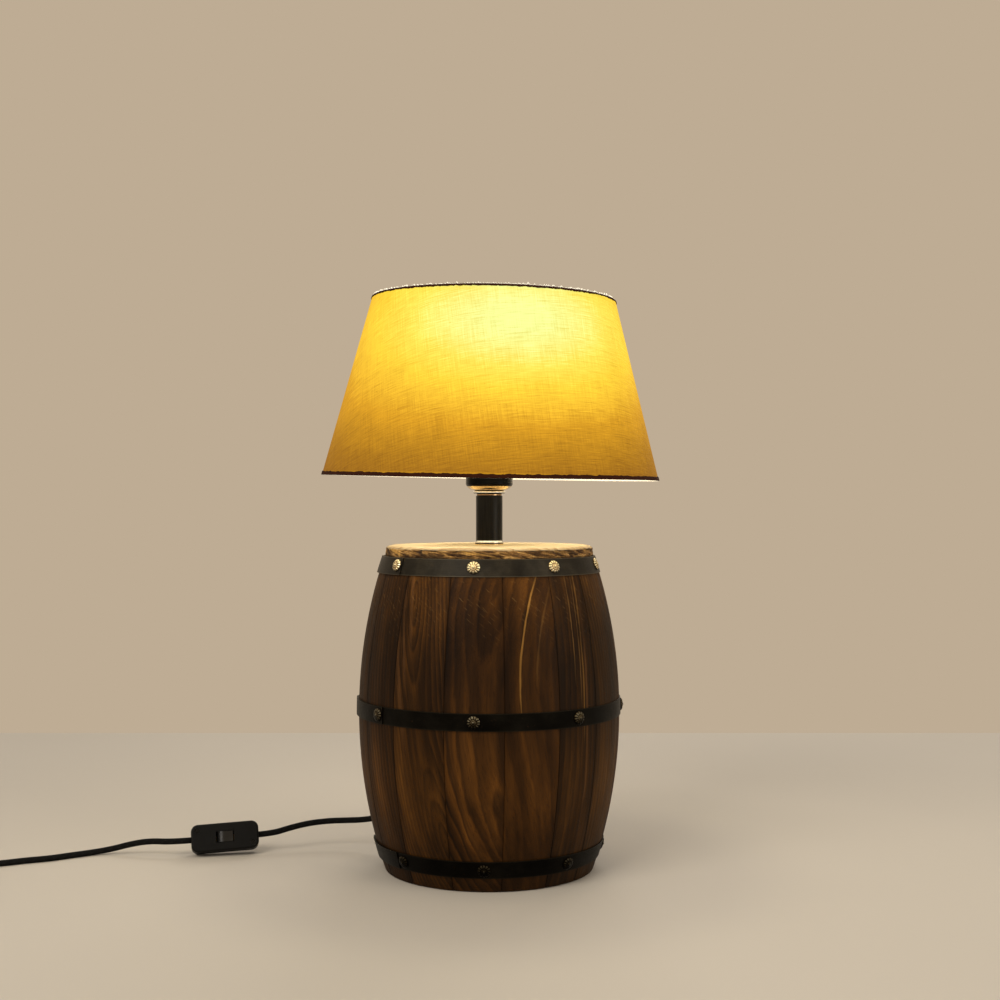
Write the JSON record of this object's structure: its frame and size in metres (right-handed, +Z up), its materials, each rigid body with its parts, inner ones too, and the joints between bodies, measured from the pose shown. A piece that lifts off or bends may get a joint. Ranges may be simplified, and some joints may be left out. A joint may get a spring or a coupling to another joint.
{
  "type": "barrel table lamp",
  "caption": "Table lamp with a hooped wooden barrel for a base, a short chrome neck, a tapered cloth shade and a lead with an in-line rocker switch.",
  "frame": {"origin": "centre of the barrel's base on the table", "axes": "+Z up along the barrel, -Y the side the picture shows, the lead runs off towards -X"},
  "size_m": [0.6957, 0.3187, 0.5063],
  "materials": {
    "stave_wood": "dark stain, satin",
    "board_wood": "worn, matt",
    "felt": "felt",
    "hoop_steel": "dark, satin",
    "nail_metal": "embossed, aged",
    "plated_steel": "zinc plated",
    "neck_chrome": "polished",
    "holder_plastic": "gloss",
    "holder_insulator": "matt",
    "contact_brass": "plain",
    "opal_glass": "opal",
    "cap_metal": "plain",
    "shade_cloth": "slub weave",
    "shade_lining": "smooth, translucent",
    "shade_binding": "woven tape",
    "frame_wire": "white enamel",
    "cord_plastic": "satin",
    "cord_braid": "textile braid",
    "tie_band": "woven",
    "switch_plastic": "satin",
    "pin_metal": "nickel plated"
  },
  "bodies": {
    "base": {"stave_01": "stave_wood", "stave_02": "stave_wood", "stave_03": "stave_wood", "stave_04": "stave_wood", "stave_05": "stave_wood", "stave_06": "stave_wood", "stave_07": "stave_wood", "stave_08": "stave_wood", "stave_09": "stave_wood", "stave_10": "stave_wood", "stave_11": "stave_wood", "stave_12": "stave_wood", "stave_13": "stave_wood", "stave_14": "stave_wood", "stave_15": "stave_wood", "top_board": "board_wood", "bottom_board": "board_wood", "base_felt": "felt", "hoop_top": "hoop_steel", "hoop_middle": "hoop_steel", "hoop_bottom": "hoop_steel", "hoop_nails_top": "nail_metal", "hoop_nails_middle": "nail_metal", "hoop_nails_bottom": "nail_metal", "threaded_rod": "plated_steel", "rod_nut": "plated_steel", "rod_washer": "plated_steel", "neck_collar": "neck_chrome", "neck_tube": "neck_chrome", "neck_ring": "neck_chrome", "holder_cup": "neck_chrome", "holder_shell": "holder_plastic", "holder_insert": "holder_insulator", "holder_contacts": "contact_brass", "cord_gland": "cord_plastic", "gland_nut": "cord_plastic", "inner_cord": "cord_braid", "cord_lamp_side": "cord_braid", "cord_free": "cord_braid", "cord_coil": "cord_braid", "cord_tie": "tie_band", "switch_back": "switch_plastic", "switch_cover": "switch_plastic", "switch_screws": "plated_steel", "switch_contacts": "contact_brass", "plug_body": "cord_plastic", "plug_pins": "pin_metal"},
    "shade": {"shade_cloth": "shade_cloth", "shade_lining": "shade_lining", "shade_top_binding": "shade_binding", "shade_bottom_binding": "shade_binding", "shade_fitter": "frame_wire", "shade_bottom_wire": "frame_wire", "shade_top_wire": "frame_wire"},
    "clamp_ring": {"shade_clamp_ring": "holder_plastic"},
    "bulb": {"bulb_glass": "opal_glass", "bulb_cap": "cap_metal", "bulb_foot_contact": "holder_insulator"},
    "rocker": {"switch_rocker": "switch_plastic"}
  },
  "joints": [
    {"name": "shade_swivel", "type": "hinge", "parent": "base", "child": "shade", "pos_m": [0, 0, 0.355], "axis": [0, 0, 1], "continuous": true},
    {"name": "clamp_ring_turn", "type": "hinge", "parent": "base", "child": "clamp_ring", "pos_m": [0, 0, 0.361], "axis": [0, 0, 1], "continuous": true},
    {"name": "bulb_turn", "type": "hinge", "parent": "base", "child": "bulb", "pos_m": [0, 0, 0.365], "axis": [0, 0, 1], "continuous": true},
    {"name": "rocker_tilt", "type": "hinge", "parent": "base", "child": "rocker", "pos_m": [-0.2429, 0.03677, 0.01687], "axis": [0.1086, -0.3267, -0.9389], "range_deg": [0, 16]}
  ]
}
